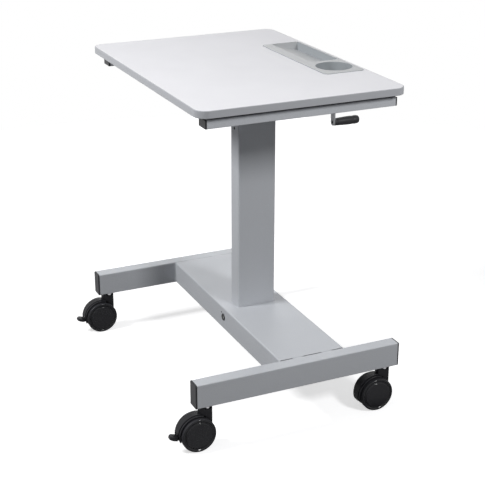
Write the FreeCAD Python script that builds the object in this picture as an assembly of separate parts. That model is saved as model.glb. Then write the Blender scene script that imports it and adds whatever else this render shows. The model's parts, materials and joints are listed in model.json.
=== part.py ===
import FreeCAD, Part
import math
import os

# Hand-cranked height adjustable desk on casters, in millimetres.
# +X is the user's right, +Y points away from the user, +Z is up, and z = 0 is the floor.
# The origin lies under the middle of the table top.

os.makedirs("parts", exist_ok=True)
V = FreeCAD.Vector
X_AXIS = V(1, 0, 0)
Y_AXIS = V(0, 1, 0)
Z_AXIS = V(0, 0, 1)

# ---- driving dimensions -------------------------------------------------------------------
# Table top
surface_height = 798.0
top_width = 711.0
top_depth = 508.0
top_thickness = 17.0
top_corner_radius = 28.0
laminate_thickness = 1.0
backer_thickness = 0.8
band_thickness = 2.0
# Tray let into the back of the top
tray_width = 346.0
tray_depth = 107.0
tray_back_margin = 8.0
tray_offset_x = 2.5
tray_lip = 1.5
tray_wall = 2.5
tray_corner_radius = 12.0
recess_length = 220.0
recess_depth_y = 75.0
recess_back_drop = 20.0
recess_front_drop = 2.0
recess_side_lip = 3.5
recess_back_lip = 5.0
cup_radius = 44.3
cup_drop = 45.0
cup_back_lip = 5.0
cup_side_lip = 19.0
tray_fit = 0.5
lip_fit = 0.2
recess_corner_radius = 3.0
drill_past = 1.0  # how far a cutter runs past a face
# Feet
foot_span = 731.0
foot_length = 524.0
foot_width = 34.0
foot_height = 60.0
foot_wall = 2.0
foot_corner_radius = 2.5
foot_centre_y = -8.0
foot_cap_head = 4.0
foot_cap_plug = 16.0
cap_fit = 0.2
# Beam between the feet
beam_depth = 171.0
beam_wall = 2.5
beam_corner_radius = 4.0
beam_centre_y = 38.5
# Telescopic column
column_width = 46.0
column_depth = 102.0
column_wall = 2.0
column_corner_radius = 4.0
column_x = -5.0
column_y = 40.0
column_top_drop = 108.0
inner_gap = 3.0
inner_wall = 2.0
inner_corner_radius = 3.0
inner_foot_gap = 24.0
lower_glide_height = 40.0
lower_glide_lip = 3.0
upper_glide_height = 60.0
glide_screw_radius = 2.0
glide_screw_head_radius = 3.6
glide_screw_head = 1.2
glide_screw_drop = 50.0
glide_screw_bite = 1.5
glide_flange = 3.0
glide_clearance = 0.3
head_clearance = 4.0
foot_plate_thickness = 8.0
travel = 345.0
# Screw drive
screw_radius = 7.0
screw_lead = 5.0
screw_clearance = 0.05
journal_radius = 5.0
screw_spare = 35.0
thread_top_gap = 3.0
journal_in_gear = 2.0
web_hole_clearance = 1.0
nut_height = 24.0
nut_spigot = 10.0
nut_head_gap = 25.0
nut_flange_radius = 15.0
nut_tube_radius = 12.0
nut_tube_wall = 2.5
gear_teeth = 16
gear_module = 2.2
gear_face = 8.0
gear_backlash = 0.9
gear_hub = 8.0
gear_back_taper = 2.0
tooth_root_depth = 1.1  # shares of the module
tooth_tip_height = 0.8
tooth_tip_share = 0.45
tooth_sink = 0.4
bearing_height = 8.0
bearing_radius = 14.0
# Frame under the top
rail_inset = 21.5
rail_width = 37.0
rail_height = 20.0
rail_wall = 1.5
rail_corner_radius = 1.5
rail_front = -230.0
rail_back = 239.0
rail_cap_head = 4.0
rail_cap_plug = 12.0
spacer_height = 9.0
spacer_width = 24.0
spacer_inset = 5.0
spacer_end_inset = 8.0
cross_width = 30.0
bracket_length = 96.0
bracket_inside = 106.0
bracket_thickness = 4.0
# Gearbox and crank
housing_half_width = 30.0
housing_front = 28.0
housing_back = 44.0
housing_wall = 3.0
housing_cover = 3.0
housing_corner_radius = 4.0
housing_head_gap = 4.0
shaft_exit_clearance = 3.0
axis_below_surface = 60.0
crank_radius = 115.0
arm_width = 18.0
arm_thickness = 4.0
arm_behind_top = 7.0
shaft_through_arm = 1.5
shaft_in_gear = 2.0
grip_length = 69.0
grip_gap = 1.0
grip_end_recess = 4.0
grip_rim_radius = 2.0
grip_radius_near = 8.5
grip_radius_far = 10.0
spindle_radius = 4.0
spindle_head_radius = 6.0
spindle_head = 3.0
shaft_radius = 5.0
shaft_tube_radius = 11.0
shaft_tube_wall = 2.0
shaft_tube_back = 240.0
bush_length = 14.0
running_clearance = 0.05
# Casters
caster_height = 108.0
caster_inset_front = 30.0
caster_inset_back = 26.0
wheel_radius = 42.0
wheel_thickness = 15.0
wheel_gap = 18.0
wheel_side_gap = 0.5
wheel_cover = 2.5
wheel_rim_radius = 2.5
caster_trail = 28.0
axle_radius = 4.0
fender_clearance = 2.0
fender_thickness = 4.0
fender_width = 31.0
fender_start = 72.0  # degrees round the hub from +Y, upwards
web_start = 60.0
hood_end_braked = 172.0
hood_end_free = 196.0
hub_boss_radius = 12.0
stem_block_front = 20.0
stem_block_back = 14.0
stem_block_below = 6.0
stem_horn_gap = 1.2  # under the foot
stem_horn_clearance = 0.6  # round the collar
stem_radius = 5.5
stem_collar_radius = 7.5
stem_collar = 3.0
stem_bottom = 66.0
socket_radius = 9.0
socket_height = 24.0
lever_overhang = 25.0
lever_thickness = 8.0
lever_width = 24.0
lever_neck = 8.0
lever_pivot_inset = 2.0
lever_pivot_angle = 190.0
lever_barrel = 4.5
lever_pin = 2.0
ear_thickness = 2.0
ear_wall = 2.0
ear_rib_start = 160.0
ear_rib_overlap = 2.0
ear_rib_inner = 12.0
ear_rib_outer = 1.0
side_gap = 0.3
# Fasteners
table_screw_radius = 2.5
table_screw_head_radius = 5.0
table_screw_head = 3.0
table_screw_bite = 12.0
table_screw_shares = (0.12, 0.5, 0.88)  # along each rail
base_bolt_radius = 4.0
base_bolt_head_radius = 6.5
base_bolt_head = 5.0
base_bolt_inset_x = 8.0
base_bolt_inset_y = 10.0
bolt_socket_share = 0.6
stiffener_thickness = 4.0
stiffener_width = 120.0
stiffener_depth = 124.0
access_hole_radius = 11.0
access_plug_flange = 1.5
side_grommet_radius = 9.5
side_grommet_neck = 7.0
side_grommet_dimple = 4.5
side_grommet_flange = 2.0
side_grommet_depth = 3.0
side_grommet_offset_x = 8.0
side_grommet_drop = 26.0

# ---- levels and places worked out from the sizes above --------------------------------------
hood_radius = wheel_radius + fender_clearance + fender_thickness
foot_bottom = caster_height
foot_top = foot_bottom + foot_height
foot_x = foot_span / 2 - foot_width / 2
foot_front = foot_centre_y - foot_length / 2
foot_back = foot_centre_y + foot_length / 2
lever_reach = wheel_radius + lever_overhang
lever_pivot_radius = wheel_radius - lever_pivot_inset
stem_front_y = foot_front + caster_inset_front
stem_back_y = foot_back - caster_inset_back
top_under = surface_height - top_thickness
core_top = surface_height - laminate_thickness
core_under = top_under + backer_thickness
rail_top = top_under - spacer_height
rail_bottom = rail_top - rail_height
rail_x = top_width / 2 - rail_inset - rail_width / 2
column_top = surface_height - column_top_drop
web_bottom = column_top + glide_flange + head_clearance
web_top = web_bottom + bracket_thickness
inner_bottom = foot_top + foot_plate_thickness + inner_foot_gap
axis_z = surface_height - axis_below_surface
nut_top = web_bottom - nut_head_gap
nut_bottom = nut_top - nut_height
screw_bottom = nut_bottom - travel - screw_spare
arm_front_y = top_depth / 2 + arm_behind_top
arm_back_y = arm_front_y + arm_thickness
grip_z = axis_z - crank_radius
cross_front_y = column_y - bracket_inside / 2 - bracket_thickness - cross_width / 2
cross_back_y = column_y + bracket_inside / 2 + bracket_thickness + cross_width / 2
housing_top = rail_top - housing_cover - housing_head_gap
grip_start_y = arm_back_y + grip_gap


# ---- building blocks ------------------------------------------------------------------------
def box(x0, x1, y0, y1, z0, z1):
    """A block between two corners."""
    return Part.makeBox(x1 - x0, y1 - y0, z1 - z0, V(x0, y0, z0))


def rounded(block, radius, axis):
    """The block with the edges that run along the axis rounded."""
    edges = [e for e in block.Edges if abs(e.tangentAt(e.FirstParameter).dot(axis)) > 0.99]
    return block.makeFillet(radius, edges)


def rod(radius, start, axis, length):
    """A cylinder from a start point along an axis."""
    return Part.makeCylinder(radius, length, start, axis)


def ring(outer, inner, start, axis, length):
    """A round sleeve."""
    return rod(outer, start, axis, length).cut(rod(inner, start, axis, length))


def slab(x_centre, y_centre, width, depth, radius, z0, z1):
    """An upright prism with a rounded rectangular plan."""
    block = box(x_centre - width / 2, x_centre + width / 2,
                y_centre - depth / 2, y_centre + depth / 2, z0, z1)
    return rounded(block, radius, Z_AXIS)


def y_tube(x_centre, width, y0, y1, z0, z1, wall, radius):
    """A rectangular tube that runs along Y, open at both ends."""
    outer = rounded(box(x_centre - width / 2, x_centre + width / 2, y0, y1, z0, z1), radius, Y_AXIS)
    inner = box(x_centre - width / 2 + wall, x_centre + width / 2 - wall, y0, y1, z0 + wall, z1 - wall)
    return outer.cut(inner)


def y_cap(x_centre, width, y_end, outwards, z0, z1, head, plug, wall, radius):
    """A moulded plug for a tube's end: a head outside and a hollow stub inside the tube."""
    y_head = y_end + outwards * head
    y_plug = y_end - outwards * plug
    low, high = sorted((y_end, y_head))
    cap = rounded(box(x_centre - width / 2, x_centre + width / 2, low, high, z0, z1), radius, Y_AXIS)
    low, high = sorted((y_end, y_plug))
    inset = wall + cap_fit
    stub = box(x_centre - width / 2 + inset, x_centre + width / 2 - inset, low, high, z0 + inset, z1 - inset)
    hollow_inset = inset + wall
    hollow = box(x_centre - width / 2 + hollow_inset, x_centre + width / 2 - hollow_inset,
                 low, high, z0 + hollow_inset, z1 - hollow_inset)
    return cap.fuse(stub.cut(hollow)).removeSplitter()


def save(name, *shapes):
    """Writes one node: a single solid, or a group of separate solids."""
    solids = [solid for shape in shapes for solid in shape.Solids]
    whole = solids[0] if len(solids) == 1 else Part.makeCompound(solids)
    whole.exportStep("parts/" + name + ".step")


# ---- base -----------------------------------------------------------------------------------
def stem_places():
    """Caster name, x and y of each stem."""
    places = []
    for side, x in (("left", -foot_x), ("right", foot_x)):
        places.append(("front_" + side, x, stem_front_y))
        places.append(("back_" + side, x, stem_back_y))
    return places


def foot(side_x):
    """Square-edged steel tube with a hole for each caster stem."""
    tube = y_tube(side_x, foot_width, foot_front, foot_back, foot_bottom, foot_top,
                  foot_wall, foot_corner_radius)
    for name, x, y in stem_places():
        if x == side_x:
            start = V(x, y, foot_bottom - drill_past)
            tube = tube.cut(rod(stem_radius, start, Z_AXIS, foot_wall + 2 * drill_past))
    return tube


def foot_caps():
    """Four black plugs in the ends of the feet."""
    caps = []
    for x in (-foot_x, foot_x):
        for y_end, outwards in ((foot_front, -1), (foot_back, 1)):
            caps.append(y_cap(x, foot_width, y_end, outwards, foot_bottom, foot_top,
                              foot_cap_head, foot_cap_plug, foot_wall, foot_corner_radius))
    return caps


def base_bolt_places():
    """Plan positions of the four bolts that hold the column down."""
    dx = column_width / 2 - column_wall - base_bolt_inset_x
    dy = column_depth / 2 - column_wall - base_bolt_inset_y
    return [(column_x + sx * dx, column_y + sy * dy) for sx in (-1, 1) for sy in (-1, 1)]


def grommet_place():
    """Centre of the black plug on the beam's front wall."""
    return V(column_x + side_grommet_offset_x, beam_centre_y - beam_depth / 2, foot_top - side_grommet_drop)


def base_beam():
    """Wide box beam with closed ends, welded between the feet."""
    half = foot_x - foot_width / 2
    y0 = beam_centre_y - beam_depth / 2
    y1 = beam_centre_y + beam_depth / 2
    outer = rounded(box(-half, half, y0, y1, foot_bottom, foot_top), beam_corner_radius, X_AXIS)
    inner = box(-half + beam_wall, half - beam_wall, y0 + beam_wall, y1 - beam_wall,
                foot_bottom + beam_wall, foot_top - beam_wall)
    beam = outer.cut(inner)
    for x, y in base_bolt_places():
        bolt_start = V(x, y, foot_top - beam_wall - drill_past)
        access_start = V(x, y, foot_bottom - drill_past)
        beam = beam.cut(rod(base_bolt_radius, bolt_start, Z_AXIS, beam_wall + 2 * drill_past))
        beam = beam.cut(rod(access_hole_radius, access_start, Z_AXIS, beam_wall + 2 * drill_past))
    start = grommet_place() - Y_AXIS * drill_past
    return beam.cut(rod(side_grommet_neck, start, Y_AXIS, beam_wall + 2 * drill_past))


def beam_stiffener():
    """Plate under the beam's top skin that spreads the column's load."""
    z1 = foot_top - beam_wall
    z0 = z1 - stiffener_thickness
    plate = box(column_x - stiffener_width / 2, column_x + stiffener_width / 2,
                column_y - stiffener_depth / 2, column_y + stiffener_depth / 2, z0, z1)
    for x, y in base_bolt_places():
        start = V(x, y, z0 - drill_past)
        plate = plate.cut(rod(base_bolt_radius, start, Z_AXIS, stiffener_thickness + 2 * drill_past))
    return plate


def base_bolts():
    """Four bolts driven up through the beam into the column's foot plate."""
    bolts = []
    z_head = foot_top - beam_wall - stiffener_thickness
    for x, y in base_bolt_places():
        head = rod(base_bolt_head_radius, V(x, y, z_head - base_bolt_head), Z_AXIS, base_bolt_head)
        socket = rod(base_bolt_radius * bolt_socket_share, V(x, y, z_head - base_bolt_head), Z_AXIS,
                     base_bolt_head * bolt_socket_share)
        shank = rod(base_bolt_radius, V(x, y, z_head), Z_AXIS, foot_top + foot_plate_thickness - z_head)
        bolts.append(head.fuse(shank).cut(socket).removeSplitter())
    return bolts


def access_plugs():
    """Four plastic plugs that close the access holes in the beam's underside."""
    plugs = []
    for x, y in base_bolt_places():
        face = V(x, y, foot_bottom - access_plug_flange)
        flange = rod(access_hole_radius + access_plug_flange, face, Z_AXIS, access_plug_flange)
        neck = rod(access_hole_radius, V(x, y, foot_bottom), Z_AXIS, beam_wall + access_plug_flange)
        plugs.append(flange.fuse(neck).removeSplitter())
    return plugs


def side_grommet():
    """Black plug with a dimple in its centre, in the beam's front wall."""
    place = grommet_place()
    flange = rod(side_grommet_radius, place - Y_AXIS * side_grommet_flange, Y_AXIS, side_grommet_flange)
    neck = rod(side_grommet_neck, place, Y_AXIS, beam_wall + side_grommet_depth)
    dimple = rod(side_grommet_dimple, place - Y_AXIS * side_grommet_flange, Y_AXIS, side_grommet_depth)
    return flange.fuse(neck).cut(dimple).removeSplitter()


def outer_column():
    """Fixed outer tube, standing on the beam."""
    outer = slab(column_x, column_y, column_width, column_depth, column_corner_radius, foot_top, column_top)
    inner = slab(column_x, column_y, column_width - 2 * column_wall, column_depth - 2 * column_wall,
                 column_corner_radius - column_wall, foot_top, column_top)
    tube = outer.cut(inner)
    screw = V(column_x, column_y - column_depth / 2 - drill_past, column_top - glide_screw_drop)
    return tube.cut(rod(glide_screw_radius, screw, Y_AXIS, column_wall + 2 * drill_past))


def glide_screw():
    """Small screw through the column's front wall into the upper glide."""
    start = V(column_x, column_y - column_depth / 2, column_top - glide_screw_drop)
    head = rod(glide_screw_head_radius, start - Y_AXIS * glide_screw_head, Y_AXIS, glide_screw_head)
    shank = rod(glide_screw_radius, start, Y_AXIS, column_wall + glide_screw_bite)
    return head.fuse(shank).removeSplitter()


def column_foot_plate():
    """Thick tapped plate welded inside the bottom of the outer tube."""
    plate = slab(column_x, column_y, column_width - 2 * column_wall, column_depth - 2 * column_wall,
                 column_corner_radius - column_wall, foot_top, foot_top + foot_plate_thickness)
    for x, y in base_bolt_places():
        start = V(x, y, foot_top - drill_past)
        plate = plate.cut(rod(base_bolt_radius, start, Z_AXIS, foot_plate_thickness + 2 * drill_past))
    return plate


def inner_size():
    """Outside width and depth of the inner tube."""
    take = 2 * (column_wall + inner_gap)
    return column_width - take, column_depth - take


def upper_glide():
    """Plastic collar fixed in the mouth of the outer tube."""
    width, depth = inner_size()
    bore = slab(column_x, column_y, width + 2 * glide_clearance, depth + 2 * glide_clearance,
                inner_corner_radius, column_top - upper_glide_height, column_top + glide_flange)
    flange = slab(column_x, column_y, column_width, column_depth, column_corner_radius,
                  column_top, column_top + glide_flange)
    sleeve = slab(column_x, column_y, column_width - 2 * column_wall, column_depth - 2 * column_wall,
                  column_corner_radius - column_wall, column_top - upper_glide_height, column_top)
    glide = flange.fuse(sleeve).cut(bore).removeSplitter()
    start = V(column_x, column_y - column_depth / 2, column_top - glide_screw_drop)
    return glide.cut(rod(glide_screw_radius, start, Y_AXIS, column_wall + glide_screw_bite))


def nut_tube():
    """Upright tube inside the column that carries the lift nut."""
    return ring(nut_tube_radius, nut_tube_radius - nut_tube_wall,
                V(column_x, column_y, foot_top + foot_plate_thickness), Z_AXIS,
                nut_bottom - foot_top - foot_plate_thickness)


def lift_nut():
    """Flanged brass nut on top of the nut tube."""
    start = V(column_x, column_y, nut_bottom)
    body = rod(nut_flange_radius, start, Z_AXIS, nut_height)
    foot_of_spigot = start - Z_AXIS * nut_spigot
    spigot = rod(nut_tube_radius - nut_tube_wall, foot_of_spigot, Z_AXIS, nut_spigot)
    bore = rod(screw_radius + screw_clearance, foot_of_spigot, Z_AXIS, nut_height + nut_spigot)
    return body.fuse(spigot).cut(bore).removeSplitter()


# ---- casters --------------------------------------------------------------------------------
def caster_sockets():
    """Steel bushes welded inside the feet, one for each stem."""
    return [ring(socket_radius, stem_radius, V(x, y, foot_bottom + foot_wall), Z_AXIS, socket_height)
            for name, x, y in stem_places()]


def caster_stems():
    """Plated stems with a collar under the foot; each hood turns on its stem."""
    stems = []
    for name, x, y in stem_places():
        pin_length = foot_bottom + foot_wall + socket_height - stem_bottom
        pin = rod(stem_radius, V(x, y, stem_bottom), Z_AXIS, pin_length)
        collar = rod(stem_collar_radius, V(x, y, foot_bottom - stem_collar), Z_AXIS, stem_collar)
        stems.append(pin.fuse(collar).removeSplitter())
    return stems


def polar(hub, radius, angle):
    """A point beside the hub in the wheel's plane: 0 degrees is +Y and 90 degrees is up."""
    a = math.radians(angle)
    return hub + V(0, radius * math.cos(a), radius * math.sin(a))


def sector(hub, half_width, inner, outer, angle0, angle1):
    """A thick arc between two radii in the wheel's plane."""
    middle = (angle0 + angle1) / 2
    shift = V(-half_width, 0, 0)
    corners = ((inner, angle0), (inner, middle), (inner, angle1),
               (outer, angle1), (outer, middle), (outer, angle0))
    p = [polar(hub, radius, angle) + shift for radius, angle in corners]
    edges = [Part.Arc(p[0], p[1], p[2]).toShape(), Part.LineSegment(p[2], p[3]).toShape(),
             Part.Arc(p[3], p[4], p[5]).toShape(), Part.LineSegment(p[5], p[0]).toShape()]
    return Part.Face(Part.Wire(edges)).extrude(V(2 * half_width, 0, 0))


def hub_at(x, y):
    """Centre of the axle of the caster whose stem is at x, y."""
    return V(x, y - caster_trail, wheel_radius)


def caster_hood(x, y, braked):
    """Moulded hood between the twin wheels, with a fender over them and a boss for the stem."""
    hub = hub_at(x, y)
    web = wheel_gap / 2
    end = hood_end_braked if braked else hood_end_free
    hood = sector(hub, web, hub_boss_radius / 2, hood_radius, web_start, end)
    fender_inner = hood_radius - fender_thickness
    hood = hood.fuse(sector(hub, fender_width / 2, fender_inner, hood_radius, fender_start, end))
    hood = hood.fuse(rod(hub_boss_radius, hub - X_AXIS * web, X_AXIS, 2 * web))
    boss_top = foot_bottom - stem_collar - side_gap
    hood = hood.fuse(box(x - web, x + web, y - stem_block_front, y + stem_block_back,
                         stem_bottom - stem_block_below, boss_top))
    horn_start = stem_collar_radius + stem_horn_clearance
    for y0, y1 in ((y - stem_block_front, y - horn_start), (y + horn_start, y + stem_block_back)):
        hood = hood.fuse(box(x - web, x + web, y0, y1, stem_bottom, foot_bottom - stem_horn_gap))
    if braked:
        pivot = polar(hub, lever_pivot_radius, lever_pivot_angle)
        for ear_x in (x - web, x + web - ear_thickness):
            ear = rod(lever_barrel + ear_wall, V(ear_x, pivot.y, pivot.z), X_AXIS, ear_thickness)
            ear_middle = V(ear_x + ear_thickness / 2, hub.y, hub.z)
            rib_inner = lever_pivot_radius - ear_rib_inner
            rib_outer = lever_pivot_radius - ear_rib_outer
            rib_end = lever_pivot_angle + ear_rib_overlap
            rib = sector(ear_middle, ear_thickness / 2, rib_inner, rib_outer, ear_rib_start, rib_end)
            hood = hood.fuse(ear).fuse(rib)
        slot = web - ear_thickness
        hood = hood.cut(rod(lever_barrel + side_gap, pivot - X_AXIS * slot, X_AXIS, 2 * slot))
        hood = hood.cut(rod(lever_pin + running_clearance, pivot - X_AXIS * web, X_AXIS, 2 * web))
    hood = hood.cut(rod(axle_radius, hub - X_AXIS * web, X_AXIS, 2 * web))
    bore_foot = V(x, y, stem_bottom - side_gap)
    bore_length = boss_top - stem_bottom + side_gap + drill_past
    hood = hood.cut(rod(stem_radius + running_clearance, bore_foot, Z_AXIS, bore_length))
    return hood.removeSplitter()


def caster_axle(x, y):
    """Steel pin pressed in the hood; both wheels run on it."""
    reach = wheel_gap / 2 + wheel_side_gap + wheel_thickness - wheel_cover - side_gap
    return rod(axle_radius, hub_at(x, y) - X_AXIS * reach, X_AXIS, 2 * reach)


def caster_wheel(x, y, side):
    """Moulded wheel: rounded tread, closed outer face and a blind bore for the axle."""
    hub = hub_at(x, y)
    start = hub + X_AXIS * side * (wheel_gap / 2 + wheel_side_gap)
    body = rod(wheel_radius, start, X_AXIS * side, wheel_thickness)
    rims = [e for e in body.Edges if e.Closed and len(e.Vertexes) == 1]
    body = body.makeFillet(wheel_rim_radius, rims)
    bore = rod(axle_radius + running_clearance, start, X_AXIS * side, wheel_thickness - wheel_cover)
    return body.cut(bore)


def brake_lever(x, y):
    """Foot lever that hinges in the hood's ears and locks the wheels."""
    hub = hub_at(x, y)
    pivot = polar(hub, lever_pivot_radius, lever_pivot_angle)
    tip = polar(hub, lever_reach - lever_thickness / 2, 180.0)
    half = wheel_gap / 2 - ear_thickness - side_gap
    barrel = rod(lever_barrel, pivot - X_AXIS * half, X_AXIS, 2 * half)
    pin = rod(lever_pin, pivot - X_AXIS * (wheel_gap / 2), X_AXIS, wheel_gap)
    run = tip - pivot
    neck = box(-half, half, 0, lever_neck, -lever_thickness / 2, lever_thickness / 2)
    wide = box(-lever_width / 2, lever_width / 2, lever_neck, run.Length,
               -lever_thickness / 2, lever_thickness / 2)
    round_tip = rod(lever_thickness / 2, V(-lever_width / 2, run.Length, 0), X_AXIS, lever_width)
    paddle = neck.fuse(wide).fuse(round_tip)
    turn = math.degrees(math.atan2(run.z, run.y))
    paddle.Placement = FreeCAD.Placement(pivot, FreeCAD.Rotation(X_AXIS, turn))
    return barrel.fuse(pin).fuse(paddle).removeSplitter()


# ---- lifting column and frame ---------------------------------------------------------------
def inner_column():
    """Inner tube that rises with the top."""
    width, depth = inner_size()
    outer = slab(column_x, column_y, width, depth, inner_corner_radius, inner_bottom, web_bottom)
    return outer.cut(slab(column_x, column_y, width - 2 * inner_wall, depth - 2 * inner_wall,
                          inner_corner_radius - inner_wall, inner_bottom, web_bottom))


def lower_glide():
    """Plastic shoe round the foot of the inner tube, with a lip under it."""
    width, depth = inner_size()
    size_x = column_width - 2 * (column_wall + glide_clearance)
    size_y = column_depth - 2 * (column_wall + glide_clearance)
    glide_foot = inner_bottom - lower_glide_lip
    glide_top = inner_bottom + lower_glide_height
    sleeve = slab(column_x, column_y, size_x, size_y,
                  column_corner_radius - column_wall, glide_foot, glide_top)
    bore = slab(column_x, column_y, width, depth, inner_corner_radius, inner_bottom, glide_top)
    mouth = slab(column_x, column_y, width - 2 * inner_wall, depth - 2 * inner_wall,
                 inner_corner_radius - inner_wall, glide_foot, inner_bottom)
    return sleeve.cut(bore).cut(mouth)


def head_bracket():
    """Folded U-shaped saddle: its web is welded on the inner tube and its legs hold the cross tubes."""
    x0 = column_x - bracket_length / 2
    x1 = column_x + bracket_length / 2
    y_in = bracket_inside / 2
    y_out = y_in + bracket_thickness
    saddle = box(x0, x1, column_y - y_out, column_y + y_out, web_bottom, rail_top)
    saddle = saddle.cut(box(x0, x1, column_y - y_in, column_y + y_in, web_top, rail_top))
    cut_length = bracket_thickness + 2 * drill_past
    journal_hole = V(column_x, column_y, web_bottom - drill_past)
    saddle = saddle.cut(rod(journal_radius + web_hole_clearance, journal_hole, Z_AXIS, cut_length))
    tube_hole = V(column_x, column_y + y_in - drill_past, axis_z)
    return saddle.cut(rod(shaft_tube_radius, tube_hole, Y_AXIS, cut_length))


def cross_tubes():
    """Two tubes across the frame, welded to the saddle and the rails."""
    half = rail_x - rail_width / 2
    tubes = []
    for y in (cross_front_y, cross_back_y):
        outer = rounded(box(-half, half, y - cross_width / 2, y + cross_width / 2, rail_bottom, rail_top),
                        rail_corner_radius, X_AXIS)
        inner = box(-half, half, y - cross_width / 2 + rail_wall, y + cross_width / 2 - rail_wall,
                    rail_bottom + rail_wall, rail_top - rail_wall)
        tubes.append(outer.cut(inner))
    return tubes


def table_screw_places():
    """Plan positions of the screws that hold the top on the rails."""
    span = rail_back - rail_front
    return [(side * rail_x, rail_front + span * share) for side in (-1, 1) for share in table_screw_shares]


def table_screws():
    """Screws from under the rails into the core board."""
    screws = []
    for x, y in table_screw_places():
        head = rod(table_screw_head_radius, V(x, y, rail_bottom - table_screw_head), Z_AXIS, table_screw_head)
        shank_length = top_under + table_screw_bite - rail_bottom
        shank = rod(table_screw_radius, V(x, y, rail_bottom), Z_AXIS, shank_length)
        screws.append(head.fuse(shank).removeSplitter())
    return screws


def drilled(shape):
    """The shape with the table screws' holes in it."""
    for x, y in table_screw_places():
        start = V(x, y, rail_bottom - drill_past)
        shape = shape.cut(rod(table_screw_radius, start, Z_AXIS, top_under + table_screw_bite - start.z))
    return shape


def rail(side):
    """Flat rectangular tube along one side of the top."""
    return drilled(y_tube(side * rail_x, rail_width, rail_front + rail_cap_head, rail_back - rail_cap_head,
                          rail_bottom, rail_top, rail_wall, rail_corner_radius))


def rail_caps():
    """Four black plugs in the ends of the rails."""
    caps = []
    for x in (-rail_x, rail_x):
        for y_end, outwards in ((rail_front + rail_cap_head, -1), (rail_back - rail_cap_head, 1)):
            caps.append(y_cap(x, rail_width, y_end, outwards, rail_bottom, rail_top,
                              rail_cap_head, rail_cap_plug, rail_wall, rail_corner_radius))
    return caps


def rail_spacers():
    """Black strips that hold the top clear of the rails."""
    strips = []
    for side in (-1, 1):
        outer = side * (rail_x + rail_width / 2 - spacer_inset)
        x0, x1 = sorted((outer, outer - side * spacer_width))
        strips.append(drilled(box(x0, x1, rail_front + spacer_end_inset, rail_back - spacer_end_inset,
                                  rail_top, top_under)))
    return strips


# ---- table top and tray ---------------------------------------------------------------------
tray_left = tray_offset_x - tray_width / 2
tray_back = top_depth / 2 - tray_back_margin
tray_front = tray_back - tray_depth
recess_x0 = tray_left + recess_side_lip
recess_x1 = recess_x0 + recess_length
recess_y1 = tray_back - recess_back_lip
recess_y0 = recess_y1 - recess_depth_y
cup_x = tray_left + tray_width - cup_side_lip - cup_radius
cup_y = tray_back - cup_back_lip - cup_radius


def recess_wedge(grow, z_top, below):
    """A block over the recess, larger all round by grow; its floor falls towards the back."""
    y0 = recess_y0 - grow
    y1 = recess_y1 + grow
    z_front = surface_height - recess_front_drop - below
    z_back = surface_height - recess_back_drop - below
    side = Part.makePolygon([V(recess_x0 - grow, y, z) for y, z in
                             ((y0, z_top), (y0, z_front), (y1, z_back), (y1, z_top), (y0, z_top))])
    return Part.Face(side).extrude(X_AXIS * (recess_length + 2 * grow))


def recess_hole(z0, z1):
    """The rectangular hole in the board that the recess hangs in."""
    grow = tray_wall + tray_fit
    hole = box(recess_x0 - grow, recess_x1 + grow, recess_y0 - grow, recess_y1 + grow, z0, z1)
    return rounded(hole, recess_corner_radius, Z_AXIS)


def cup_body(grow, z0):
    """The round well for a cup, larger all round by grow."""
    return rod(cup_radius + grow, V(cup_x, cup_y, z0), Z_AXIS, surface_height - z0)


def tray_rim(grow):
    """The tray's flat rim, larger all round by grow: it lies on the core and stands above the surface."""
    rim = box(tray_left - grow, tray_left + tray_width + grow, tray_front - grow, tray_back + grow,
              core_top, surface_height + tray_lip)
    return rounded(rim, tray_corner_radius + grow, Z_AXIS)


def pen_tray():
    """Moulded insert: a rim let into the laminate, a sloping recess for pens and a round well for a cup."""
    shell = rounded(recess_wedge(tray_wall, surface_height, tray_wall), recess_corner_radius, Z_AXIS)
    tray = tray_rim(0).fuse(shell).fuse(cup_body(tray_wall, surface_height - cup_drop - tray_wall))
    recess = recess_wedge(0, surface_height + tray_lip, 0)
    well = rod(cup_radius, V(cup_x, cup_y, surface_height - cup_drop), Z_AXIS, cup_drop + tray_lip)
    return tray.cut(recess).cut(well).removeSplitter()


def table_core():
    """Chipboard core of the top."""
    return board_layer(core_under, core_top)


def table_backer():
    """Thin white sheet on the underside of the core, which keeps the board from bowing."""
    return board_layer(top_under, core_under)


def board_layer(z0, z1):
    """One layer of the board inside the edge band, with the tray's holes and the screws' holes."""
    layer = slab(0, 0, top_width - 2 * band_thickness, top_depth - 2 * band_thickness,
                 top_corner_radius - band_thickness, z0, z1)
    layer = layer.cut(recess_hole(z0 - drill_past, core_top + drill_past))
    return drilled(layer.cut(cup_body(tray_wall + tray_fit, z0 - drill_past)))


def table_laminate():
    """White laminate glued on the core, cut out round the tray's rim."""
    sheet = slab(0, 0, top_width - 2 * band_thickness, top_depth - 2 * band_thickness,
                 top_corner_radius - band_thickness, core_top, surface_height)
    return sheet.cut(tray_rim(lip_fit))


def edge_band():
    """Grey plastic band round the edge of the top."""
    outer = slab(0, 0, top_width, top_depth, top_corner_radius, top_under, surface_height)
    return outer.cut(slab(0, 0, top_width - 2 * band_thickness, top_depth - 2 * band_thickness,
                          top_corner_radius - band_thickness, top_under, surface_height))


# ---- drive ----------------------------------------------------------------------------------
pitch_radius = gear_module * gear_teeth / 2
apex = V(column_x, column_y, axis_z)


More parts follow.
